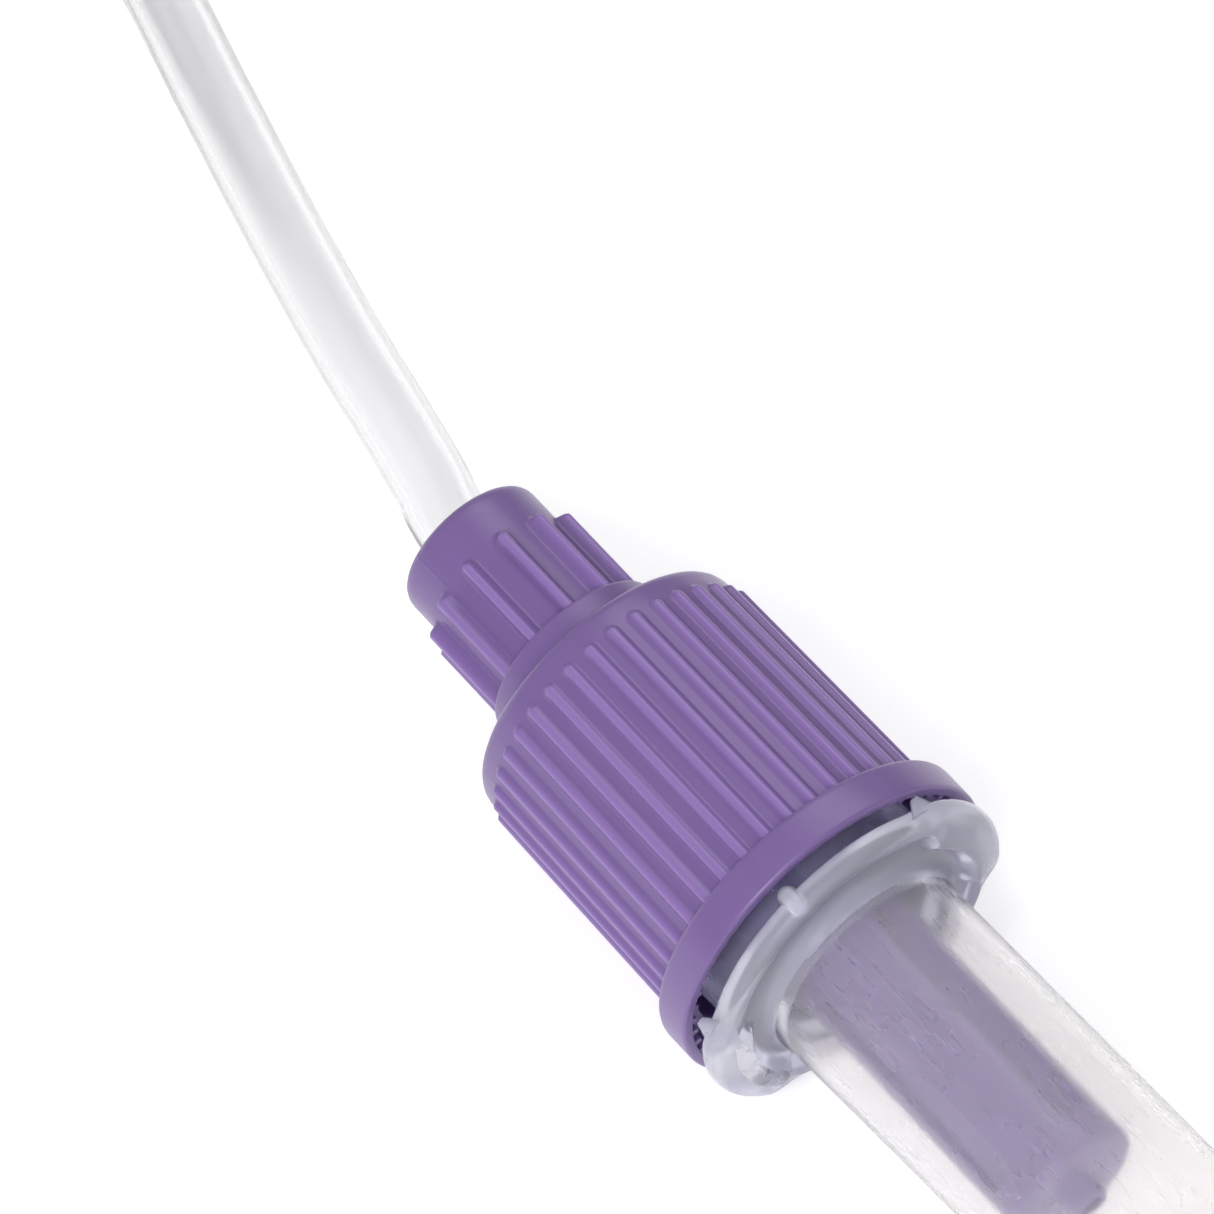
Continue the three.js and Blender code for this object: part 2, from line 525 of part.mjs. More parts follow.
// ---- The object ------------------------------------------------------------------------------------
add('screw_cap', onHead(screwCap()), PURPLE);
add('ribbed_collar', onHead(ribbedCollar()), PURPLE);
add('spike', onHead(spike()), PURPLE);
add('sealing_washer', onHead(sealingWasher()), WHITE, 0.7);
add('protective_cover', onHead(cover()), FROSTED, 0.4);
add('feed_tube', tube([[MOUTH_X - TUBE_END, 0, AXIS_Z], ...LEAD], TUBE_R, 34), CLEAR, 0.2);
add('tube_hank', hank(), CLEAR, 0.2);
add('hank_tie_a', tie(HANK_NEAR_X - HANK_RUN / 2, 1), WHITE, 0.8);
add('hank_tie_b', tie((CLAMP_OUT + HUB_X) / 2, -1), WHITE, 0.8);
add('tube_tail', tube(TAIL, TUBE_R, 8), CLEAR, 0.2);
add('clamped_tube', tube(CLAMPED, TUBE_R, 6), CLEAR, 0.2);
add('tube_end', tube(END, TUBE_R, 12), CLEAR, 0.2);
add('clamp_body', clampBody(), WHITE, 0.5);
add('clamp_roller', roller(), PURPLE, 0.5);
add('connector_hub', connectorHub(), PURPLE);
add('connector_lock_ring', lockRing(), PURPLE);
add('connector_cap', endCap(), WHITE);

export default group;
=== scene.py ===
import math

import bmesh
import bpy
import numpy as np
from mathutils import Matrix, Vector


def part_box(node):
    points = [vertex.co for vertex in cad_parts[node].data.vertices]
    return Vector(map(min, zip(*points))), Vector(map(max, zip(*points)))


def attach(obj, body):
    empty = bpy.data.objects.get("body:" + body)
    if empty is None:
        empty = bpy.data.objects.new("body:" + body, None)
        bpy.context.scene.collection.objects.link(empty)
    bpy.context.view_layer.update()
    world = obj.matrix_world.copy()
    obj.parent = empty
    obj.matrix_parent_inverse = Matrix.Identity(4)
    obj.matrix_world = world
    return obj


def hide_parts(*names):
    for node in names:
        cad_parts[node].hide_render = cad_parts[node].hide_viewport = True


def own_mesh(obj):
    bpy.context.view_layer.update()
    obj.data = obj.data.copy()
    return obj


# The container end of an enteral giving set: a ribbed screw cap and its spike under a frosted cover,
# and 1.5 m of clear tube, most of it in a tied hank with its roller clamp and patient connector.
# Distances along the head are from the cap's mouth, positive towards the cover's tip.

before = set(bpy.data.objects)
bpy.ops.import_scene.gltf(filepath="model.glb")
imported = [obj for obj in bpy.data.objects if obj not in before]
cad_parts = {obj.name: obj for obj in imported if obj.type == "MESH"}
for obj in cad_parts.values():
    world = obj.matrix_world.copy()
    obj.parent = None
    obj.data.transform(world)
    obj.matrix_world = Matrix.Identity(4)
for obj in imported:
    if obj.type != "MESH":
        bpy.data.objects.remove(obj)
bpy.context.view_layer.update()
MM = 0.001

# ---- Where things lie ----------------------------------------------------------------------------
CAP_LOW, CAP_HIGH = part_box("screw_cap")
MOUTH = np.array([CAP_HIGH.x, 0.0, (CAP_LOW.z + CAP_HIGH.z) / 2])
COLLAR_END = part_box("ribbed_collar")[0].x
CLAMP_LOW, CLAMP_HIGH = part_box("clamp_body")
HUB_LOW, HUB_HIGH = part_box("connector_hub")
TAIL_Y = (CLAMP_LOW.y + CLAMP_HIGH.y) / 2
HUB = np.array([HUB_LOW.x, TAIL_Y, (HUB_LOW.z + HUB_HIGH.z) / 2])
TUBE_R = 3.7 * MM
BORE_R = 2.55 * MM


# ---- Camera --------------------------------------------------------------------------------------
def make_camera():
    """From above and in front of the cover, with the cap's mouth right of the view's middle and below it."""
    azimuth, elevation, distance, sensor, lens = math.radians(51.4), math.radians(57), 1.0, 36, 326.2
    flat = math.cos(elevation)
    back = Vector((math.sin(azimuth) * flat, -math.cos(azimuth) * flat, math.sin(elevation)))
    right = Vector((math.cos(azimuth), math.sin(azimuth), 0))
    up = back.cross(right)
    mouth_right, mouth_below = 20.55 * MM, 29.36 * MM
    data = bpy.data.cameras.new("camera")
    data.sensor_width = sensor
    data.lens = lens
    data.clip_end = 10
    camera = bpy.data.objects.new("camera", data)
    bpy.context.scene.collection.objects.link(camera)
    camera.matrix_world = Matrix((right, up, back)).transposed().to_4x4()
    camera.location = Vector(MOUTH) + back * distance - right * mouth_right + up * mouth_below
    bpy.context.scene.camera = camera


# ---- The tube's route ----------------------------------------------------------------------------
LEAD = MM * np.array([
    [-51.2, 0, 17.4], [-55.5, 0.8, 16.8], [-59.5, 2.2, 15.9], [-65.2, 3.8, 14.7], [-70.9, 5.3, 13.5],
    [-76.7, 6.8, 12.2], [-82.4, 8.4, 10.9], [-88.2, 10.1, 9.7], [-93.9, 11.8, 8.5], [-99.5, 13.5, 7.4],
    [-105, 15.2, 6.4], [-110.5, 16.9, 5.5], [-115.9, 18.5, 4.8], [-121.2, 20.1, 4.3],
    [-126.5, 21.6, 4], [-136, 24.1, 3.9], [-146, 26.4, 4.1], [-151.5, 27.5, 4.3],
])
TUBE_IN_COLLAR = 9 * MM
TUBE_IN_HUB = 9 * MM
NEAR_X, FAR_X = -178 * MM, -282 * MM  # the middles of the hank's round ends
INNER, OUTER = 22.2 * MM, 29.7 * MM  # its two turns
LOWER, UPPER = 4.6 * MM, 12.1 * MM  # its two layers
TAIL_Z = 22.2 * MM
GAP = 0.3 * MM
TURN_STEPS = 40
LINE_STEP = 1.5 * MM


def ease(t):
    """Smooth step from 0 to 1."""
    t = np.clip(t, 0, 1)
    return t * t * (3 - 2 * t)


def smooth_line(points, per_span=12):
    """A cubic through every point, with each tangent the mean of its neighbours' chords."""
    points = np.asarray(points, float)
    tangents = np.gradient(points, axis=0)
    t = np.linspace(0, 1, per_span, endpoint=False)[:, None]
    weights = [2 * t**3 - 3 * t**2 + 1, t**3 - 2 * t**2 + t, 3 * t**2 - 2 * t**3, t**3 - t**2]
    spans = [
        weights[0] * a + weights[1] * ta + weights[2] * b + weights[3] * tb
        for a, b, ta, tb in zip(points, points[1:], tangents, tangents[1:])
    ]
    return np.vstack([*spans, points[-1:]])


def run(side, y0, y1, z0, z1, start=0.0, end=1.0):
    """A straight run on the +Y or the -Y side. Its y and z ease from y0, z0 to y1, z1 between the shares
    start and end of its length."""
    t = np.linspace(0, 1, TURN_STEPS)
    s = ease((t - start) / (end - start))
    x = NEAR_X + (FAR_X - NEAR_X) * (t if side > 0 else 1 - t)
    return np.stack([x, side * (y0 + (y1 - y0) * s), z0 + (z1 - z0) * s], -1)


def bend(x, first, r0, r1, z0, z1):
    """Half a turn about a round end's middle, from angle first, with its radius and height easing."""
    t = np.linspace(0, 1, TURN_STEPS)
    s = ease(t)
    angle = np.radians(first) + math.pi * t
    radius = r0 + (r1 - r0) * s
    return np.stack([x + radius * np.cos(angle), radius * np.sin(angle), z0 + (z1 - z0) * s], -1)


def hank_route():
    """Three turns, each out on the +Y side, round the far end, back on the -Y side and round the near
    end. Then once more out and round the far end, rising to the clamp."""
    turns = [  # +Y radius, -Y radius before and after, height before and after, where it shifts
        (OUTER, OUTER, INNER, LOWER, LOWER, 0.67, 1.0),
        (INNER, INNER, INNER, LOWER, UPPER, 0.33, 0.67),
        (INNER, INNER, OUTER, UPPER, UPPER, 0.0, 0.33),
    ]
    parts = []
    for out, back, then, z0, z1, start, end in turns:
        parts += [run(1, out, out, z0, z0), bend(FAR_X, 90, out, back, z0, z0)]
        parts += [run(-1, back, then, z0, z1, start, end), bend(NEAR_X, -90, then, then, z1, z1)]
    parts += [run(1, OUTER, OUTER, UPPER, UPPER), bend(FAR_X, 90, OUTER, -TAIL_Y, UPPER, TAIL_Z)]
    return np.vstack(parts)


def steps_of(line):
    """The length of each step along a line of points."""
    return np.linalg.norm(np.diff(line, axis=0), axis=1)


def spaced(points, step):
    """The same line, at even steps."""
    keep = np.r_[True, steps_of(points) > 1e-7]
    points = points[keep]
    along = np.r_[0, np.cumsum(steps_of(points))]
    at = np.linspace(0, along[-1], max(2, round(along[-1] / step)) + 1)
    return np.stack([np.interp(at, along, points[:, k]) for k in range(3)], -1)


def tube_route():
    """From inside the collar, down to the floor, round the hank and up to the clamp."""
    start = [COLLAR_END + TUBE_IN_COLLAR, 0, MOUTH[2]]
    to_hank = [[-164 * MM, 29.1 * MM, 4.5 * MM], [NEAR_X, OUTER, LOWER]]
    lead = smooth_line(np.vstack([[start], LEAD, to_hank]))
    clamp = [[CLAMP_LOW.x - GAP, TAIL_Y, TAIL_Z]]
    return spaced(np.vstack([lead, hank_route(), clamp]), LINE_STEP)


# ---- Meshes --------------------------------------------------------------------------------------
def grid_faces(rows, columns, loop):
    """Quads between neighbouring rings; loop joins the last ring to the first."""
    ring = np.arange(rows if loop else rows - 1)[:, None] * columns
    here = np.arange(columns)[None]
    after = (here + 1) % columns
    upper = (ring + columns) % (rows * columns)
    return np.stack([ring + here, ring + after, upper + after, upper + here], -1).reshape(-1, 4)


def new_mesh(name, points, faces, sharp=32):
    """A mesh of quads and triangles with its faces turned outwards by the sign of its volume."""
    corners = points[faces[:, :3]] if len(faces) else np.zeros((0, 3, 3))
    volume = np.einsum("ij,ij->", corners[:, 0], np.cross(corners[:, 1], corners[:, 2]))
    mesh = bpy.data.meshes.new(name)
    outward = faces[:, ::-1] if volume < 0 else faces
    listed = [[int(i) for i in dict.fromkeys(f)] for f in outward.tolist()]
    mesh.from_pydata(points.tolist(), [], listed)
    mesh.polygons.foreach_set("use_smooth", np.ones(len(mesh.polygons), bool))
    mesh.set_sharp_from_angle(angle=math.radians(sharp))
    mesh.update()
    return mesh


def placed(name, mesh, material, body, nodes):
    """The mesh as a piece that rides on its body and stands for its CAD nodes."""
    piece = bpy.data.objects.new(name, mesh)
    bpy.context.scene.collection.objects.link(piece)
    mesh.materials.append(material)
    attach(piece, body)
    if nodes:
        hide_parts(*nodes)
    return piece


def skin(rings, loop):
    """Points and faces of a surface through rings. Without loop, a fan closes each end ring."""
    rows, columns = rings.shape[:2]
    points, faces = rings.reshape(-1, 3), grid_faces(rows, columns, loop)
    if loop:
        return points, faces
    here = np.arange(columns)
    after = (here + 1) % columns
    first, last = rows * columns, rows * columns + 1
    points = np.vstack([points, rings[0].mean(0), rings[-1].mean(0)])
    start = np.stack([after, here, here * 0 + first, here * 0 + first], -1)
    end = np.stack([here, after, here * 0 + last, here * 0 + last], -1)
    end[:, :2] += (rows - 1) * columns
    return points, np.vstack([faces, start, end])


def together(parts):
    """Several solids as one list of points and faces."""
    offset = np.cumsum([0] + [len(p) for p, _ in parts[:-1]])
    return np.vstack([p for p, _ in parts]), np.vstack([f + o for (_, f), o in zip(parts, offset)])


def outline(corners, loop=True, steps=6, longest=1.5):
    """[along, radius, fillet] corners in mm as points in metres. Each corner is a parabola that leaves
    its sides a fillet away from it, and long straight stretches are divided."""
    corners = np.array(corners, float)
    count = len(corners)
    points = []
    for i, (along, radius, fillet) in enumerate(corners):
        here = np.array([along, radius])
        if fillet == 0 or (not loop and i in (0, count - 1)):
            points.append(here[None])
            continue
        before, after = corners[i - 1, :2] - here, corners[(i + 1) % count, :2] - here
        a = here + before / np.linalg.norm(before) * min(fillet, 0.48 * np.linalg.norm(before))
        b = here + after / np.linalg.norm(after) * min(fillet, 0.48 * np.linalg.norm(after))
        t = np.linspace(0, 1, steps)[:, None]
        points.append((1 - t) ** 2 * a + 2 * t * (1 - t) * here + t**2 * b)
    points = np.vstack(points)
    following = np.roll(points, -1, axis=0) if loop else points[1:]
    dense = []
    for a, b in zip(points, following):
        parts = max(1, math.ceil(np.linalg.norm(b - a) / longest))
        dense.append(a + (b - a) * np.linspace(0, 1, parts, endpoint=False)[:, None])
    return np.vstack(dense if loop else [*dense, points[-1:]]) * MM


def turned(profile, columns, relief=None):
    """Rings of a profile of [along, radius] turned about +X: radius is the profile's and the relief's at
    that place and angle. columns is a number of even steps or the angles themselves."""
    angle = np.linspace(0, 2 * math.pi, columns, endpoint=False) if np.isscalar(columns) else columns
    along, radius = profile[:, :1], profile[:, 1:]
    radius = radius + np.zeros_like(angle)[None]
    if relief is not None:
        radius = relief(along / MM, angle[None], radius / MM) * MM
    along = along + np.zeros_like(radius)
    return np.stack([along, radius * np.cos(angle), radius * np.sin(angle)], -1)


def rib_angles(count, first, radius, width, valley=4, extra=()):
    """Angles for a ribbed surface: close together over each rib's crest and flanks, wider in its valleys."""
    half = width / 2 / radius
    pitch = 2 * math.pi / count
    shares = np.array([0.2, 0.4, 0.55, 0.7, 0.85, 1, 1.25])
    rib = half * np.r_[-shares[::-1], 0, shares]
    floor = np.linspace(1.25 * half, pitch - 1.25 * half, valley + 2)[1:-1]
    offsets = np.r_[rib, floor]
    middles = math.radians(first) + pitch * np.arange(count)[:, None]
    return np.unique(np.round(np.r_[(middles + offsets).ravel(), np.radians(extra)] % (2 * math.pi), 5))


def from_rib(angle, count, first):
    """The angle to the nearest rib's middle."""
    pitch = 2 * math.pi / count
    return (angle - math.radians(first) + pitch / 2) % pitch - pitch / 2


def rib_height(across, past, width, height):
    """A rib's height at a distance across it and past its end: round crest, soft flanks, round end."""
    away = np.hypot(across, np.maximum(past, 0))
    return height * (1 - ease((away - 0.1 * width) / (0.4 * width)))


def mark_crests_for_painted_highlight(piece, rings, plain_radius, height):
    """A mask on a ribbed piece, 1 on its ribs' crests and 0 on the surface between, from the radius. The
    material paints a highlight on the crests from it.
    """
    radius = np.hypot(rings[..., 1], rings[..., 2]).ravel() / MM
    mask = np.clip((radius - plain_radius.ravel()) / height, 0, 1)
    # The crest layer feeds the painted highlight on the ribs' crests.
    layer = piece.data.attributes.new("crest", "FLOAT", "POINT")
    layer.data.foreach_set("value", mask.astype(np.float32))


def on_head(points):
    return points + MOUTH


def on_hub(points):
    return points + HUB


# ---- Materials -----------------------------------------------------------------------------------
def group(name, inputs, outputs):
    """A new shader group with number and colour sockets: its tree, its input node and its output node."""
    tree = bpy.data.node_groups.new(name, "ShaderNodeTree")
    for label, kind, default in inputs:
        socket = tree.interface.new_socket(label, in_out="INPUT", socket_type=kind)
        socket.default_value = default
    for label, kind in outputs:
        tree.interface.new_socket(label, in_out="OUTPUT", socket_type=kind)
    return tree, tree.nodes.new("NodeGroupInput"), tree.nodes.new("NodeGroupOutput")


def node(tree, kind, links=(), values=(), **settings):
    """A node with its settings, its unlinked values and the sockets that feed it."""
    made = tree.nodes.new(kind)
    for key, value in settings.items():
        setattr(made, key, value)
    for key, value in dict(values).items():
        made.inputs[key].default_value = value
    for key, source in dict(links).items():
        tree.links.new(source, made.inputs[key])
    return made


NUMBER, COLOUR = "NodeSocketFloat", "NodeSocketColor"


def moulding_group():
    """Moulded plastic: cloudy tone from slow noise, faint flow lines along the part, a painted highlight
    that makes the colour paler where the crest mask is 1, and a fine skin."""
    tree, given, out = group(
        "Moulding",
        [("Colour", COLOUR, (1, 1, 1, 1)), ("Tone", NUMBER, 0.05), ("Roughness", NUMBER, 0.35),
         ("Skin", NUMBER, 1.0), ("Crest", NUMBER, 0.0), ("Crest Highlight Gain", NUMBER, 0.4)],
        [("Colour", COLOUR), ("Roughness", NUMBER), ("Height", NUMBER)],
    )

    def plus(first, second):
        return node(tree, "ShaderNodeMath", {0: first, 1: second}, operation="ADD")

    def times(first, second):
        return node(tree, "ShaderNodeMath", {0: first, 1: second}, operation="MULTIPLY")

    place = node(tree, "ShaderNodeTexCoord").outputs["Object"]
    cloud = node(tree, "ShaderNodeTexNoise", {"Vector": place}, {"Scale": 90, "Detail": 3, "Roughness": 0.5})
    along = node(tree, "ShaderNodeMapping", {"Vector": place}, {"Scale": (0.12, 1, 1)})
    flow = node(tree, "ShaderNodeTexNoise", {"Vector": along.outputs[0]}, {"Scale": 700, "Detail": 2})
    skin_noise = node(tree, "ShaderNodeTexNoise", {"Vector": place}, {"Scale": 5200, "Detail": 2})
    both = plus(cloud.outputs[0], flow.outputs[0])
    centred = node(tree, "ShaderNodeMath", {0: both.outputs[0]}, {1: 1.0}, operation="SUBTRACT")
    swing = times(centred.outputs[0], given.outputs["Tone"])
    # Painted highlight: the colour is scaled up by the crest mask times its gain, so the ribs' crests look lit.
    painted_highlight = times(given.outputs["Crest"], given.outputs["Crest Highlight Gain"])
    painted_highlight_gain = node(tree, "ShaderNodeMath", {0: painted_highlight.outputs[0]}, {1: 1.0}, operation="ADD")
    gain = plus(swing.outputs[0], painted_highlight_gain.outputs[0])
    tinted = node(
        tree, "ShaderNodeVectorMath", {0: given.outputs["Colour"], "Scale": gain.outputs[0]}, operation="SCALE"
    )
    rough = node(tree, "ShaderNodeMath", {0: centred.outputs[0]}, {1: 0.12}, operation="MULTIPLY")
    roughness = plus(given.outputs["Roughness"], rough.outputs[0])
    height = times(skin_noise.outputs[0], given.outputs["Skin"])
    tree.links.new(tinted.outputs[0], out.inputs["Colour"])
    tree.links.new(roughness.outputs[0], out.inputs["Roughness"])
    tree.links.new(height.outputs[0], out.inputs["Height"])
    return tree


MOULDING = moulding_group()


def plastic(name, colour, tone=0.05, roughness=0.35, skin_depth=1.0, bump=0.12, **sockets):
    """A moulded plastic: the group's colour with its painted crest highlight, roughness and skin on a
    Principled BSDF.
    """
    material = bpy.data.materials.new(name)
    material.use_nodes = True
    tree = material.node_tree
    shader = tree.nodes["Principled BSDF"]
    for key, value in sockets.items():
        shader.inputs[key.replace("_", " ")].default_value = value
    made = node(tree, "ShaderNodeGroup", node_tree=MOULDING)
    made.inputs["Colour"].default_value = (*colour, 1)
    made.inputs["Tone"].default_value = tone
    made.inputs["Roughness"].default_value = roughness
    made.inputs["Skin"].default_value = skin_depth
    # The crest attribute drives a painted highlight on ribbed pieces' crests.
    crest = node(tree, "ShaderNodeAttribute", attribute_name="crest")
    tree.links.new(crest.outputs["Fac"], made.inputs["Crest"])
    bumped = node(
        tree, "ShaderNodeBump", {"Height": made.outputs["Height"]}, {"Strength": bump, "Distance": 0.1 * MM}
    )
    tree.links.new(made.outputs["Colour"], shader.inputs["Base Color"])
    tree.links.new(made.outputs["Roughness"], shader.inputs["Roughness"])
    tree.links.new(bumped.outputs[0], shader.inputs["Normal"])
    return material


PURPLE = (0.186, 0.115, 0.31)


def frosted(name, colour, tone, roughness, transmission, ior):
    return plastic(name, colour, tone, roughness, Transmission_Weight=transmission, IOR=ior)


def clear(name, colour):
    return plastic(name, colour, 0.01, 0.09, bump=0.02, Transmission_Weight=1.0, IOR=1.2)


def make_materials():
    """The tube's tint is on its outer skin only, so light isn't tinted twice."""
    return {
        "purple": plastic("purple_moulded", PURPLE, 0.07, 0.33),
        "spike": plastic("purple_spike", (0.145, 0.09, 0.31), 0.05, 0.3),
        "flange": frosted("frosted_flange", (0.86, 0.87, 0.97), 0.03, 0.22, 0.7, 1.25),
        # The plug is the same frosted plastic as the flange, given a darker, bluer colour: painted shade for
        # its side in the shadow inside the cap's mouth.
        "plug": frosted("frosted_plug", (0.7, 0.68, 0.9), 0.03, 0.25, 0.78, 1.15),
        "barrel": frosted("frosted_barrel", (0.99, 0.975, 0.975), 0.015, 0.27, 0.88, 1.1),
        "tube": clear("clear_tube", (0.79, 0.79, 0.8)),
        "bore": clear("clear_bore", (0.99, 0.99, 0.995)),
        "white": plastic("white_moulded", (0.86, 0.86, 0.85), 0.03, 0.4),
        "washer": plastic("washer_rubber", (0.7, 0.68, 0.62), 0.05, 0.7),
        "tie": plastic("tie_paper", (0.85, 0.83, 0.78), 0.12, 0.8, 3.0, 0.4),
    }


# ---- Screw cap -----------------------------------------------------------------------------------
# first: the angle of the first rib's middle, in degrees
SKIRT_RIBS, SKIRT_FIRST, SKIRT_RIB_WIDTH, SKIRT_RIB_HEIGHT = 36, 6, 1.7, 0.55
RIB_TOP, RIM_BACK = -30.1, -4.0
SKIRT_IN, SKIRT_OUT = 14.6, 15.6  # radii that hold the skirt's outer face and no other face


def cap_relief(along, angle, radius):
    """Ribs on the skirt: from their round ends under the shoulder to the rim."""
    across = from_rib(angle, SKIRT_RIBS, SKIRT_FIRST) * radius
    height = rib_height(across, RIB_TOP - along, SKIRT_RIB_WIDTH, SKIRT_RIB_HEIGHT)
    skirt = (radius > SKIRT_IN) & (radius < SKIRT_OUT) & (along > RIB_TOP - 1) & (along < RIM_BACK + 0.5)
    return radius + np.where(skirt, height, 0)


def screw_cap(material):
    """A turned shell: boss, shoulder, slightly flared skirt and rim outside, a straight cavity inside. The
    rows are finer where the ribs' round ends are."""
    profile = outline([
        [-37.9, 5.9, 0.2], [-37.9, 9.4, 0.4], [-33.5, 9.4, 0.9], [-33.5, 14.75, 1.5], [-31.0, 14.93, 0],
        [-29.0, 14.96, 0], [-4.0, 15.3, 0.3], [-4.0, 17.4, 0.7], [0, 17.4, 0.4], [0, 16.3, 0.2],
        [-2.6, 16.3, 0.1], [-2.6, 13.9, 0.2], [-31.5, 13.9, 0.4], [-31.5, 5.9, 0.2],
    ], longest=1.9)
    tips = (profile[:, 0] > -31.2 * MM) & (profile[:, 0] < -28.9 * MM) & (profile[:, 1] > SKIRT_IN * MM)
    low, high = profile[tips][0], profile[tips][-1]
    finer = low + (high - low) * np.linspace(0, 1, 16)[:, None]
    start = np.flatnonzero(tips)[0]
    profile = np.vstack([profile[:start], finer, profile[start + tips.sum():]])
    angles = rib_angles(SKIRT_RIBS, SKIRT_FIRST, 15.4, SKIRT_RIB_WIDTH, 3)
    rings = turned(profile, angles, cap_relief)
    points, faces = skin(rings, True)
    mesh = new_mesh("screw_cap_shell", on_head(points), faces, 55)
    shell = placed("screw_cap_shell", mesh, material, "screw_cap", ["screw_cap"])
    # Mask for the painted highlight that makes the skirt ribs' crests paler.
    mark_crests_for_painted_highlight(shell, rings, np.repeat(profile[:, 1] / MM, len(angles)), SKIRT_RIB_HEIGHT)


BOX_FACES = np.array([[0, 1, 2, 3], [4, 7, 6, 5], [0, 4, 5, 1], [1, 5, 6, 2], [2, 6, 7, 3], [3, 7, 4, 0]])


def slab(x0, x1, r0, r1, angle, width, taper=1.0):
    """A small block on the head: from x0 to x1, r0 to r1, at an angle, narrower at r1 by taper."""
    across = width / 2
    corners = np.array([
        [x, s * across * (taper if r == r1 else 1), r]
        for x in (x0, x1) for r, s in ((r0, -1), (r0, 1), (r1, 1), (r1, -1))
    ]) * MM
    c, s = math.cos(angle), math.sin(angle)
    y = corners[:, 2] * c - corners[:, 1] * s
    z = corners[:, 2] * s + corners[:, 1] * c
    return np.stack([corners[:, 0], y, z], -1), BOX_FACES


def mouth_teeth(material):
    """48 small teeth round the wall behind the rim, which grip the bottle's ring."""
    teeth = 48
    blocks = [slab(-2.6, -0.35, 16.4, 15.6, 2 * math.pi * i / teeth, 1.0, 0.6) for i in range(teeth)]
    points, faces = together(blocks)
    mesh = new_mesh("mouth_teeth", on_head(points), faces)
    placed("mouth_teeth", mesh, material, "screw_cap", [])


def inner_thread(material):
    """A ridge of one and a half turns on the cavity's wall. Its section's radius runs from the wall to the
    crest as a raised cosine, and both its height and its width fade over a fourteenth at either end."""
    turns, pitch, start, wall, crest, half_width, fading = 1.5, 3.2, -8.0, 14.1, 12.95, 0.85, 14
    t = np.linspace(0, 1, 160)[:, None]
    section = np.linspace(0, 2 * math.pi, 12, endpoint=False)[None]
    fade = np.minimum(1, np.minimum(t, 1 - t) * fading)
    angle = 2 * math.pi * turns * t
    radius = wall - (wall - crest) * fade * (0.5 + 0.5 * np.cos(section))
    along = start - pitch * turns * t + half_width * np.sin(section) * (0.4 + 0.6 * fade)
    rings = np.stack([along + 0 * radius, radius * np.cos(angle), radius * np.sin(angle)], -1) * MM
    points, faces = skin(rings, False)
    mesh = new_mesh("neck_thread", on_head(points), faces)
    placed("neck_thread", mesh, material, "screw_cap", [])


# ---- Collar --------------------------------------------------------------------------------------
COLLAR_RIBS, COLLAR_FIRST, COLLAR_RIB_WIDTH, COLLAR_RIB_HEIGHT = 12, 2, 1.9, 1.35
COLLAR_R, COLLAR_RIB_TIP = 7.6, -47.9
PARTING, LINE_HEIGHT, LINE_HALF_WIDTH = 145, 0.05, 0.06  # the first parting line's angle in degrees


def collar_relief(along, angle, radius):
    """Twelve ribs from the foot to near the end, and the mould's two parting lines, 0.05 proud."""
    across = from_rib(angle, COLLAR_RIBS, COLLAR_FIRST) * radius
    height = rib_height(across, COLLAR_RIB_TIP - along, COLLAR_RIB_WIDTH, COLLAR_RIB_HEIGHT)
    line = LINE_HEIGHT * (np.abs(from_rib(angle, 2, PARTING) * radius) < LINE_HALF_WIDTH)
    outer = radius > COLLAR_R - 0.4
    return radius + np.where(outer, np.maximum(height, line), 0)


def ribbed_collar(material):
    """A turned sleeve with a round end, a bore for the tube at one end and for the spike's shaft at the
    other. The columns are finer over the ribs and beside one parting line."""
    profile = outline([
        [-53.9, 4.0, 0.3], [-53.9, COLLAR_R, 1.3], [-49.2, COLLAR_R, 0], [-47.4, COLLAR_R, 0],
        [-38.0, COLLAR_R, 0], [-38.0, 5.9, 0.1], [-44.3, 5.9, 0.1], [-44.6, 4.0, 0.1],
    ], longest=0.35)
    extra = [PARTING + d for d in (-1.2, -0.45, -0.3, 0.3, 0.45, 1.2)]
    angles = rib_angles(COLLAR_RIBS, COLLAR_FIRST, 8.3, COLLAR_RIB_WIDTH, 7, extra)
    rings = turned(profile, angles, collar_relief)
    points, faces = skin(rings, True)
    mesh = new_mesh("collar_shell", on_head(points), faces, 55)
    shell = placed("collar_shell", mesh, material, "root", ["ribbed_collar"])
    # Mask for the painted highlight that makes the collar ribs' crests paler.
    mark_crests_for_painted_highlight(shell, rings, np.repeat(profile[:, 1] / MM, len(angles)), COLLAR_RIB_HEIGHT)


# ---- Spike and washer ----------------------------------------------------------------------------
SPIKE_R, FLUTES, FLUTE_FIRST, FLUTE_WIDTH, FLUTE_DEPTH = 6.6, 4, 65, 3.8, 1.0
FLUTE_START, FLUTE_END = 2.0, 30.9


def spike_relief(along, angle, radius):
    """Flat-bottomed flutes: within a flute's width the radius is at most its floor's chord."""
    away = from_rib(angle, FLUTES, FLUTE_FIRST)
    chord = (SPIKE_R - FLUTE_DEPTH) / np.cos(away)
    inside = (np.abs(np.sin(away)) * SPIKE_R < FLUTE_WIDTH / 2) & (along > FLUTE_START) & (along < FLUTE_END)
    return np.where(inside & (radius > SPIKE_R - 0.5), np.minimum(radius, chord), radius)


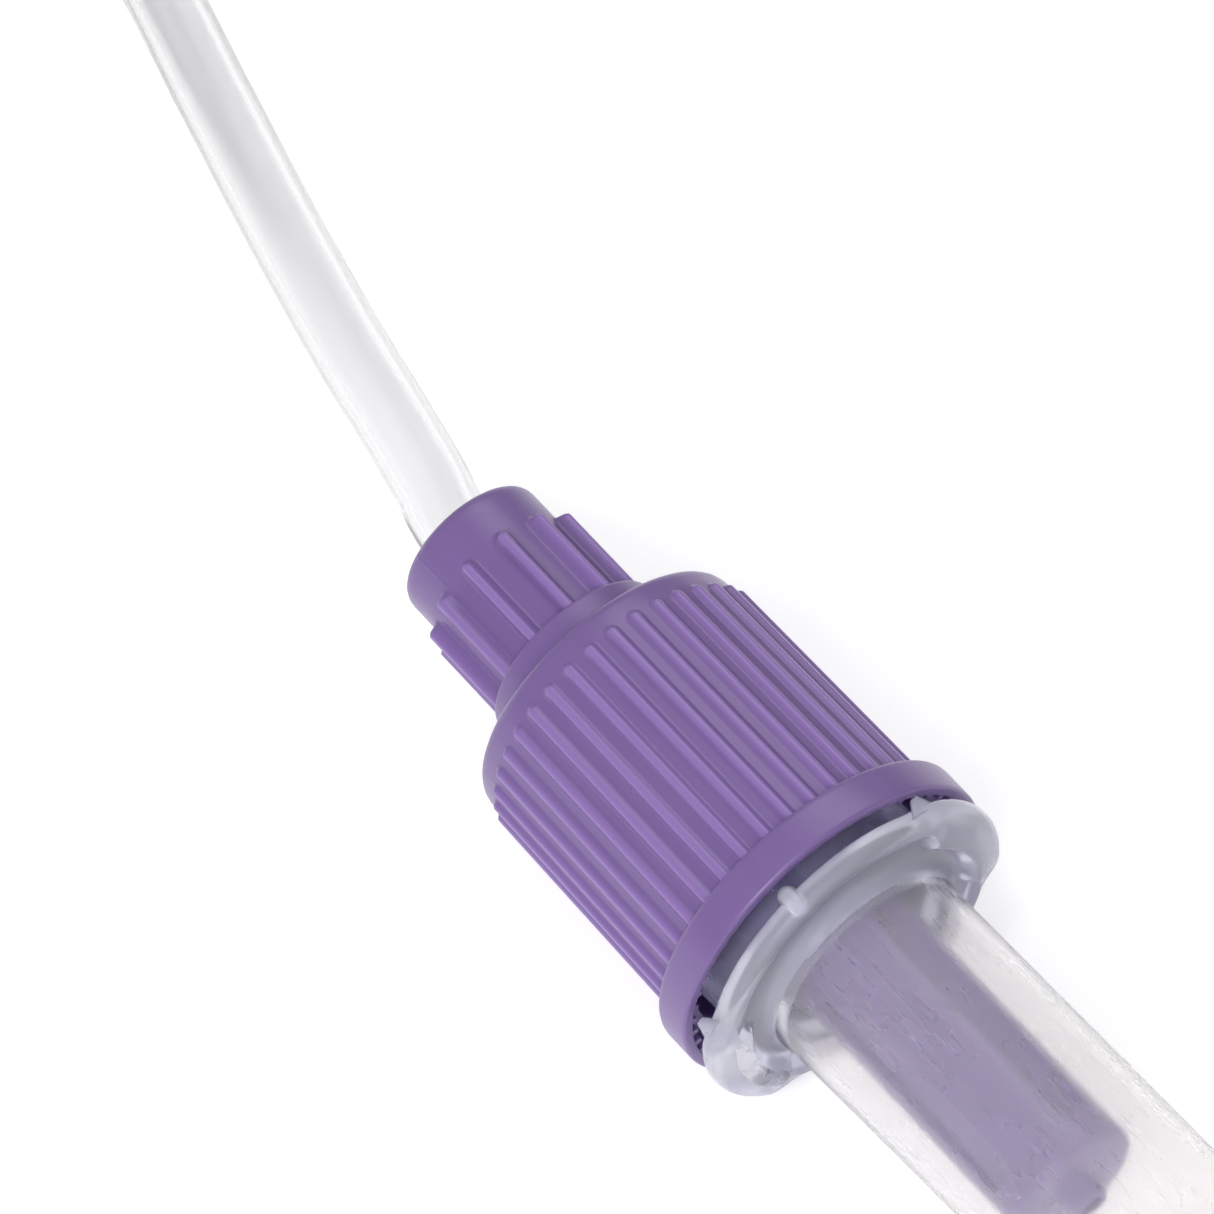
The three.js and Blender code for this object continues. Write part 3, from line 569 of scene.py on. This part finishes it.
def spike(material):
    """A turned shaft, flange, body and nib round one bore. The rows and columns are doubled up beside the
    flutes' edges, so that the edges are crisp."""
    cuts = [[x, SPIKE_R, 0] for x in (FLUTE_START - 0.1, FLUTE_START + 0.1, FLUTE_END - 0.15, FLUTE_END + 0.15)]
    profile = outline([
        [-44.6, 1.0, 0.1], [-44.6, 5.6, 0.4], [-31.2, 5.6, 0.2], [-31.2, 12.6, 0.3], [-29.2, 12.6, 0.3],
        [-29.2, 6.6, 0.3], *cuts, [34.3, 6.6, 0.55], [34.9, 1.8, 0.35], [36.9, 1.8, 0.7], [36.9, 1.0, 0.1],
    ], longest=1.2)
    half = math.asin(FLUTE_WIDTH / 2 / SPIKE_R)
    middles = math.radians(FLUTE_FIRST) + 2 * math.pi / FLUTES * np.arange(FLUTES)[:, None]
    edges = np.array([-half - 0.004, -half + 0.004, half - 0.004, half + 0.004])
    angles = np.r_[(middles + edges).ravel(), np.linspace(0, 2 * math.pi, 96, endpoint=False)]
    angles = np.unique(np.round(angles % (2 * math.pi), 4))
    points, faces = skin(turned(profile, angles, spike_relief), True)
    mesh = new_mesh("spike_body", on_head(points), faces)
    placed("spike_body", mesh, material, "root", ["spike"])


def sealing_washer(material):
    """A turned ring of rectangular section with round corners."""
    corners = [[-28.9, 6.9, 0.3], [-28.9, 12.6, 0.3], [-27.3, 12.6, 0.3], [-27.3, 6.9, 0.3]]
    profile = outline(corners, longest=1.0)
    points, faces = skin(turned(profile, 96), True)
    mesh = new_mesh("washer_ring", on_head(points), faces)
    placed("washer_ring", mesh, material, "root", ["sealing_washer"])


# ---- Cover ---------------------------------------------------------------------------------------
COVER_TURN, COVER_LEAN_Y, COVER_LEAN_Z = 25, -0.55, 1.36  # degrees
NUB_COUNT = 6
COVER_TIP, COVER_DOME, COVER_END_R, COVER_WALL = 48.5, 5.0, 10.2, 1.1
DOME_ROWS = 12
PLUG_END, PLATE_END = 1.1, 4.6  # where the plug's and the flange's materials end


def on_cover(points):
    """From the cover's own axis to its crooked place in the mouth."""
    about_z = Matrix.Rotation(math.radians(COVER_LEAN_Z), 3, "Z")
    lean = about_z @ Matrix.Rotation(math.radians(COVER_LEAN_Y), 3, "Y")
    spin = Matrix.Rotation(math.radians(COVER_TURN), 3, "X")
    return points @ np.array(lean @ spin).T + MOUTH


def cover_rings():
    """Rings of the cover about its own axis, and how many come before the dome. There are two outer
    profiles with as many points, one between the ears and one through them. The outer edge eases from one
    to the other over 14 degrees, the raised front plate over 3. The dome and its underside are quarter
    ellipses, and the bore widens evenly towards the mouth."""
    dome_start = COVER_TIP - COVER_DOME
    root = [[3.6, 10.8, 0.8], [5.6, 10.42, 1.2], [dome_start, COVER_END_R, 0]]
    plain = [[-5.5, 9.3, 0.1], [-5.5, 12.6, 0.4], [1.2, 12.6, 0.1], [1.2, 15.9, 0.8], [3.6, 15.9, 1.1],
             [3.6, 14.2, 0.8], [2.9, 13.4, 0.7], [2.9, 11.9, 1.6], *root]
    eared = [[-5.5, 9.3, 0.1], [-5.5, 12.6, 0.4], [1.2, 12.6, 0.1], [1.75, 17.3, 0.6], [3.6, 17.3, 1.1],
             [4.7, 13.6, 0.4], [4.2, 13.1, 0.3], [2.9, 12.2, 0.8], *root]
    between, through = (outline(c, loop=False, steps=8, longest=99) for c in (plain, eared))
    spans = np.maximum(steps_of(between), steps_of(through))
    parts = np.where(spans > 0.5 * MM, 6, 1)
    parts[-1] = 40

    def finer(line):
        pieces = [
            a + (b - a) * np.linspace(0, 1, n, endpoint=False)[:, None]
            for a, b, n in zip(line, line[1:], parts)
        ]
        return np.vstack([*pieces, line[-1:]])

    between, through = finer(between), finer(through)
    up = np.linspace(0, math.pi / 2, DOME_ROWS + 2)[1:-1]
    down = up[::-1]
    under_r, under_dome = COVER_END_R - COVER_WALL, COVER_DOME - COVER_WALL
    dome = np.stack([dome_start + COVER_DOME * np.sin(up), COVER_END_R * np.cos(up)], -1) * MM
    under = np.stack([dome_start + under_dome * np.sin(down), under_r * np.cos(down)], -1) * MM
    bore = np.stack([np.linspace(dome_start, -5.2, 30), np.linspace(under_r, 9.3, 30)], -1) * MM
    angles = np.linspace(0, 2 * math.pi, 288, endpoint=False)
    away = np.degrees(np.abs(from_rib(angles, 2, 0)))
    outer, front = 1 - ease((away - 26) / 14), 1 - ease((away - 25.5) / 3)
    edge = np.clip((between[:, 1] / MM - 14.6) / 0.8, 0, 1)[:, None]
    share = edge * outer + (1 - edge) * front
    flat = between[:, None] + (through - between)[:, None] * share[..., None]
    fixed = [np.repeat(p[:, None], len(angles), 1) for p in (dome, under, bore)]
    rows = np.vstack([flat, *fixed])
    x, r = rows[..., 0], rows[..., 1]
    return np.stack([x, r * np.cos(angles), r * np.sin(angles)], -1), len(between)


def protective_cover(flange, plug, barrel):
    """The cover's rings joined in a loop but for the row between dome and underside, where each ring is
    closed by a fan to its own pole. Plug, flange and barrel differ in material by their place along it; the
    plug's darker colour is painted shade."""
    rings, outside = cover_rings()
    tip = outside + DOME_ROWS
    columns = rings.shape[1]
    points = rings.reshape(-1, 3)
    faces = grid_faces(len(rings), columns, True)
    rows = np.repeat(np.arange(len(rings)), columns)
    faces = faces[rows != tip - 1]
    here = np.arange(columns)
    after = (here + 1) % columns
    poles = np.array([[COVER_TIP, 0, 0], [COVER_TIP - COVER_WALL, 0, 0]]) * MM
    outer_pole, inner_pole = here * 0 + len(points), here * 0 + len(points) + 1
    dome_ring, under_ring = (tip - 1) * columns, tip * columns
    outer_fan = np.stack([here + dome_ring, after + dome_ring, outer_pole, outer_pole], -1)
    inner_fan = np.stack([after + under_ring, here + under_ring, inner_pole, inner_pole], -1)
    points = np.vstack([points, poles])
    mesh = new_mesh("cover_shell", on_cover(points), np.vstack([faces, outer_fan, inner_fan]))
    placed("cover_shell", mesh, plug, "cover", ["protective_cover"])
    mesh.materials.append(flange)
    mesh.materials.append(barrel)
    centres = np.zeros(len(mesh.polygons) * 3)
    mesh.polygons.foreach_get("center", centres)
    along = centres.reshape(-1, 3)[:, 0] - MOUTH[0]
    ends = [PLUG_END * MM, PLATE_END * MM]
    mesh.polygons.foreach_set("material_index", np.digitize(along, ends).astype(np.int32))


def capsule(x0, x1, radius, middle_r, angle, flat=1.0):
    """A bar with round ends along the head at a radius and angle, flattened across by flat."""
    t = np.linspace(0, math.pi / 2, 7)
    ends = np.r_[x0 + radius * (1 - np.cos(t)), x1 - radius * (1 - np.cos(t[::-1]))]
    radii = radius * np.r_[np.sin(t), np.sin(t[::-1])]
    around = np.linspace(0, 2 * math.pi, 20, endpoint=False)
    y = radii[1:-1, None] * np.cos(around) * flat
    r = middle_r + radii[1:-1, None] * np.sin(around)
    x = ends[1:-1, None] + 0 * y
    c, s = math.cos(angle), math.sin(angle)
    return skin(np.stack([x, r * c - y * s, r * s + y * c], -1) * MM, False)


def gusset(angle, middle_r):
    """A small tent behind an ear's end: a triangle 5 wide with a round tip, 1.5 thick, soft all round."""
    u = np.linspace(0, 2 * math.pi, 28, endpoint=False)[None]
    v = np.linspace(0, 1, 9)[:, None]
    rise = np.sin(v * math.pi / 2)
    width = 2.5 * (1 - 0.8 * rise)
    thick = 0.75 * (1 - 0.35 * rise)
    x = 2.4 - 2.1 * rise - 0 * u
    width[-1], thick[-1] = 0.2, 0.2
    y, r = width * np.cos(u), middle_r + thick * np.sin(u)
    c, s = math.cos(angle), math.sin(angle)
    return skin(np.stack([x, r * c - y * s, r * s + y * c], -1) * MM, False)


def cover_nubs(material):
    """Six bars across the flange's edge. Those at the ears' ends stand behind a gusset."""
    parts = []
    for i in range(NUB_COUNT):
        angle = math.radians(360 / NUB_COUNT * (i + 0.5))
        if i % 3 == 1:
            parts.append(capsule(0.1, 3.5, 1.0, 15.3, angle))
        else:
            parts += [capsule(0.5, 3.6, 0.8, 15.7, angle), gusset(angle, 16.0)]
    points, faces = together(parts)
    mesh = new_mesh("cover_nubs", on_cover(points), faces, 60)
    placed("cover_nubs", mesh, material, "cover", [])


# ---- Tube ----------------------------------------------------------------------------------------
def tube_wall(name, line, outside, bore, nodes):
    """A pipe along a line: an outer and an inner skin joined at both ends, carried on a frame that turns
    no more than the line does. Its UV map holds the share round and the metres along."""
    tangent = np.gradient(line, axis=0)
    tangent /= np.linalg.norm(tangent, axis=1)[:, None]
    up = np.array([0, 0, 1.0])
    side = np.cross(tangent, up)
    side /= np.linalg.norm(side, axis=1)[:, None]
    over = np.cross(side, tangent)
    around = np.linspace(0, 2 * math.pi, 24, endpoint=False)
    cosine, sine = np.cos(around)[None, :, None], np.sin(around)[None, :, None]
    circle = side[:, None] * cosine + over[:, None] * sine
    rings = np.concatenate([line[:, None] + TUBE_R * circle, (line[:, None] + BORE_R * circle)[::-1]])
    points, faces = skin(rings, True)
    mesh = new_mesh(name, points, faces, 40)
    along = np.r_[0, np.cumsum(steps_of(line))]
    v = np.repeat(np.r_[along, along[::-1]], len(around))
    u = np.tile(around / (2 * math.pi), 2 * len(line))
    corner = np.zeros(len(mesh.loops), np.int32)
    mesh.loops.foreach_get("vertex_index", corner)
    layer = mesh.uv_layers.new(name="round_and_along")
    layer.uv.foreach_set("vector", np.stack([u[corner], v[corner]], -1).astype(np.float32).ravel())
    piece = placed(name, mesh, outside, "root", nodes)
    mesh.materials.append(bore)
    inner = np.repeat(np.arange(2 * len(line)) >= len(line), len(around))
    mesh.polygons.foreach_set("material_index", inner.astype(np.int32))
    return piece


def tie_band(name, node_name, material):
    """A paper band round the bundle: a rounded rectangle, 0.5 thick, with its end lapped over the top."""
    low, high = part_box(node_name)
    x0, x1 = low.x / MM, high.x / MM
    y_mid, z_mid = (low.y + high.y) / 2 / MM, (low.z + high.z) / 2 / MM
    half_y, half_z = (high.y - low.y) / 2 / MM, (high.z - low.z) / 2 / MM
    corner, thick = 4.2, 0.5
    angle = np.linspace(0, 2 * math.pi, 96, endpoint=False)[None]
    shift_y = (half_y - corner) * np.sign(np.cos(angle)) * (np.abs(np.cos(angle)) > 1e-9)
    shift_z = (half_z - corner) * np.sign(np.sin(angle)) * (np.abs(np.sin(angle)) > 1e-9)
    section = np.array([
        [x0, 0], [x1, 0], [x1, -thick / 2], [x1, -thick], [x0, -thick], [x0, -thick / 2],
    ])
    radius = corner + section[:, 1:]
    y = y_mid + shift_y + radius * np.cos(angle)
    z = z_mid + shift_z + radius * np.sin(angle)
    x = section[:, :1] + 0 * y
    parts = [skin(np.stack([x, y, z], -1) * MM, True)]
    lap = np.array([[x, y, z] for x in (x0 + 0.1, x1 - 0.1) for y, z in (
        (y_mid - 2.5, z_mid + half_z - 0.3), (y_mid + 3.5, z_mid + half_z - 0.3),
        (y_mid + 3.4, z_mid + half_z - 0.02), (y_mid - 2.4, z_mid + half_z - 0.02))]) * MM
    parts.append((lap, BOX_FACES))
    points, faces = together(parts)
    return placed(name, new_mesh(name, points, faces), material, "root", [node_name])


# ---- Roller clamp and patient connector ----------------------------------------------------------
def softened(name, node_name, width, material, body):
    """The CAD shape with its flats joined and its edges rounded by a bevel."""
    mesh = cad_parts[node_name].data.copy()
    mesh.name = name
    mesh.materials.clear()
    shape = bmesh.new()
    shape.from_mesh(mesh)
    bmesh.ops.remove_doubles(shape, verts=shape.verts, dist=1e-6)
    bmesh.ops.dissolve_limit(shape, angle_limit=math.radians(1), verts=shape.verts, edges=shape.edges)
    shape.to_mesh(mesh)
    shape.free()
    piece = placed(name, mesh, material, body, [node_name])
    bevel = piece.modifiers.new("edges", "BEVEL")
    bevel.width = width
    bevel.segments = 3
    bevel.limit_method = "ANGLE"
    bevel.angle_limit = math.radians(35)
    mesh.polygons.foreach_set("use_smooth", np.ones(len(mesh.polygons), bool))
    mesh.set_sharp_from_angle(angle=math.radians(40))
    return piece


def clamp_roller(material):
    """A wheel with 18 soft teeth on two pins, its axis across the clamp."""
    low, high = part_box("clamp_roller")
    middle = np.array([(low.x + high.x) / 2, (low.y + high.y) / 2, (low.z + high.z) / 2])
    half = (high.y - low.y) / 2 / MM
    wheel, pin, count, depth = half - 2.1, 1.5, 18, 0.22
    profile = outline([
        [-half, pin, 0.3], [-wheel, pin, 0.2], [-wheel, 4.95, 0.5], [wheel, 4.95, 0.5], [wheel, pin, 0.2],
        [half, pin, 0.3],
    ], loop=False, longest=0.8)
    profile = np.vstack([[[-half * MM, 0.02 * MM]], profile, [[half * MM, 0.02 * MM]]])

    def teeth(along, angle, radius):
        return radius - np.where(radius > pin + 1.5, depth * (1 - np.cos(count * angle)), 0)

    rings = turned(profile, 216, teeth)
    rings = np.stack([rings[..., 1], rings[..., 0], rings[..., 2]], -1)
    points, faces = skin(rings, False)
    mesh = new_mesh("roller_wheel", points + middle, faces)
    return placed("roller_wheel", mesh, material, "roller", ["clamp_roller"])


def connector_hub(material):
    """A socket for the tube, two grip wings, a flange and the nozzle."""
    profile = outline([
        [0, 4.0, 0.2], [0, 5.2, 0.7], [2.0, 5.2, 0], [12.4, 5.2, 0], [13.0, 5.2, 0.3],
        [13.0, 5.1, 0.1], [15.0, 5.1, 0.3], [15.0, 2.9, 0.3], [27.0, 2.5, 0.3], [27.0, 1.4, 0.2],
        [9.3, 1.4, 0.1], [9.3, 4.0, 0.2],
    ], longest=0.5)

    def wings(along, angle, radius):
        across = np.abs(np.sin(from_rib(angle, 2, 0))) * radius
        reach = ease((along - 1.6) / 1.2) * ease((12.8 - along) / 1.2)
        return radius + np.where(radius > 5.15, 0.85 * reach * (1 - ease((across - 0.5) / 0.5)), 0)

    rings = turned(profile, 144, wings)
    points, faces = skin(rings, True)
    mesh = new_mesh("hub_body", on_hub(points), faces)
    return placed("hub_body", mesh, material, "root", ["connector_hub"])


def lock_ring(material):
    """A loose collar with ten ribs, open towards the patient's fitting."""
    profile = outline([
        [15.3, 3.2, 0.2], [15.3, 6.7, 0.6], [16.4, 6.7, 0], [26.8, 6.7, 0], [27.8, 6.7, 0.4], [27.8, 5.3, 0.3],
        [16.8, 5.2, 0.2], [16.8, 3.2, 0.1],
    ], longest=0.5)

    def ribs(along, angle, radius):
        across = from_rib(angle, 10, 0) * radius
        height = rib_height(across, np.maximum(16.6 - along, along - 26.6), 2.0, 0.48)
        return radius + np.where(radius > 6.5, height, 0)

    points, faces = skin(turned(profile, rib_angles(10, 0, 6.9, 2.0, 5), ribs), True)
    mesh = new_mesh("lock_ring_shell", on_hub(points), faces)
    return placed("lock_ring_shell", mesh, material, "lock_ring", ["connector_lock_ring"])


def end_cap(material):
    """A push-on cap: a sleeve over the nozzle, a stop flange and a finger tab."""
    profile = outline([
        [17.1, 3.2, 0.2], [17.1, 4.4, 0.4], [28.1, 4.4, 0.2], [28.1, 6.0, 0.4], [29.7, 6.0, 0.4],
        [29.7, 0.05, 0],
    ], loop=False, longest=0.6)
    inside = outline([[27.3, 0.05, 0], [27.3, 3.2, 0.3], [17.1, 3.2, 0.2]], loop=False, longest=0.6)
    rings = turned(np.vstack([profile, inside]), 96)
    parts = [skin(rings, True)]
    u = np.linspace(0, 2 * math.pi, 40, endpoint=False)[None]
    t = np.linspace(0, 1, 14)[:, None]
    round_off = np.sqrt(np.clip(1 - (2 * t - 1) ** 8, 0.02, 1))
    x = 29.3 + 5.4 * t + 0 * u
    edge = np.sign(np.cos(u)) * np.abs(np.cos(u)) ** 0.35
    face = np.sign(np.sin(u)) * np.abs(np.sin(u)) ** 0.35
    y = 4.3 * round_off * edge * (1 - 0.12 * t)
    z = 0.95 * round_off * face
    parts.append(skin(np.stack([x, y, z], -1) * MM, False))
    points, faces = together(parts)
    mesh = new_mesh("end_cap_body", on_hub(points), faces)
    return placed("end_cap_body", mesh, material, "end_cap", ["connector_cap"])


# ---- Floor and light -----------------------------------------------------------------------------
def make_floor():
    mesh = bpy.data.meshes.new("floor")
    side = 3.0
    corners = [(-side, -side, 0), (side, -side, 0), (side, side, 0), (-side, side, 0)]
    mesh.from_pydata(corners, [], [(0, 1, 2, 3)])
    floor = bpy.data.objects.new("floor", mesh)
    bpy.context.scene.collection.objects.link(floor)
    material = bpy.data.materials.new("floor_white")
    material.use_nodes = True
    shader = material.node_tree.nodes["Principled BSDF"]
    shader.inputs["Base Color"].default_value = (0.9, 0.9, 0.9, 1)
    shader.inputs["Roughness"].default_value = 0.9
    shader.inputs["Emission Color"].default_value = (1, 1, 1, 1)
    shader.inputs["Emission Strength"].default_value = 0.42
    mesh.materials.append(material)


def soft_light(name, place, size, power):
    """A white rectangle of light, turned to the object."""
    data = bpy.data.lights.new(name, "AREA")
    data.shape = "RECTANGLE"
    data.size, data.size_y = size
    data.energy = power
    light = bpy.data.objects.new(name, data)
    light.location = place
    light.rotation_euler = (Vector((0, 0, 0.01)) - Vector(place)).to_track_quat("-Z", "Y").to_euler()
    bpy.context.scene.collection.objects.link(light)


def make_light():
    world = bpy.data.worlds.new("studio")
    world.use_nodes = True
    world.node_tree.nodes["Background"].inputs["Color"].default_value = (1, 1, 1, 1)
    world.node_tree.nodes["Background"].inputs["Strength"].default_value = 0.32
    bpy.context.scene.world = world
    soft_light("key", (0.35, -0.6, 0.8), (0.6, 0.4), 6.5)
    soft_light("fill", (-0.4, 0.5, 0.9), (0.8, 0.6), 3)
    soft_light("glint", (0.1, -0.25, 1.0), (0.12, 0.12), 1.0)
    bpy.context.scene.view_settings.view_transform = "Standard"


# ---- The object ----------------------------------------------------------------------------------
make_camera()
paint = make_materials()
route = tube_route()
tube_nodes = ["feed_tube", "tube_hank", "tube_tail"]
feed_tube = tube_wall("clear_feed_tube", route, paint["tube"], paint["bore"], tube_nodes)
clamped = spaced(np.array([[CLAMP_LOW.x, TAIL_Y, TAIL_Z], [CLAMP_HIGH.x, TAIL_Y, TAIL_Z]]), LINE_STEP)
clamped_tube = tube_wall("clamped_stretch", clamped, paint["tube"], paint["bore"], ["clamped_tube"])
ending = smooth_line(np.array([
    [CLAMP_HIGH.x + GAP, TAIL_Y, TAIL_Z], [CLAMP_HIGH.x + 4 * MM, TAIL_Y, TAIL_Z],
    [HUB[0] - 2 * MM, TAIL_Y, HUB[2]], [HUB[0] + TUBE_IN_HUB, TAIL_Y, HUB[2]],
]))
tube_ending = tube_wall("tube_ending", spaced(ending, 1.0 * MM), paint["tube"], paint["bore"], ["tube_end"])
ties = [
    tie_band("paper_tie_a", "hank_tie_a", paint["tie"]),
    tie_band("paper_tie_b", "hank_tie_b", paint["tie"]),
]
clamp_shell = softened("clamp_shell", "clamp_body", 0.35 * MM, paint["white"], "root")
roller = clamp_roller(paint["purple"])
hub = connector_hub(paint["purple"])
ring = lock_ring(paint["purple"])
end = end_cap(paint["white"])
screw_cap(paint["purple"])
mouth_teeth(paint["purple"])
inner_thread(paint["purple"])
ribbed_collar(paint["purple"])
spike(paint["spike"])
sealing_washer(paint["washer"])
protective_cover(paint["flange"], paint["plug"], paint["barrel"])
cover_nubs(paint["flange"])
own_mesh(clamped_tube)
make_floor()
make_light()
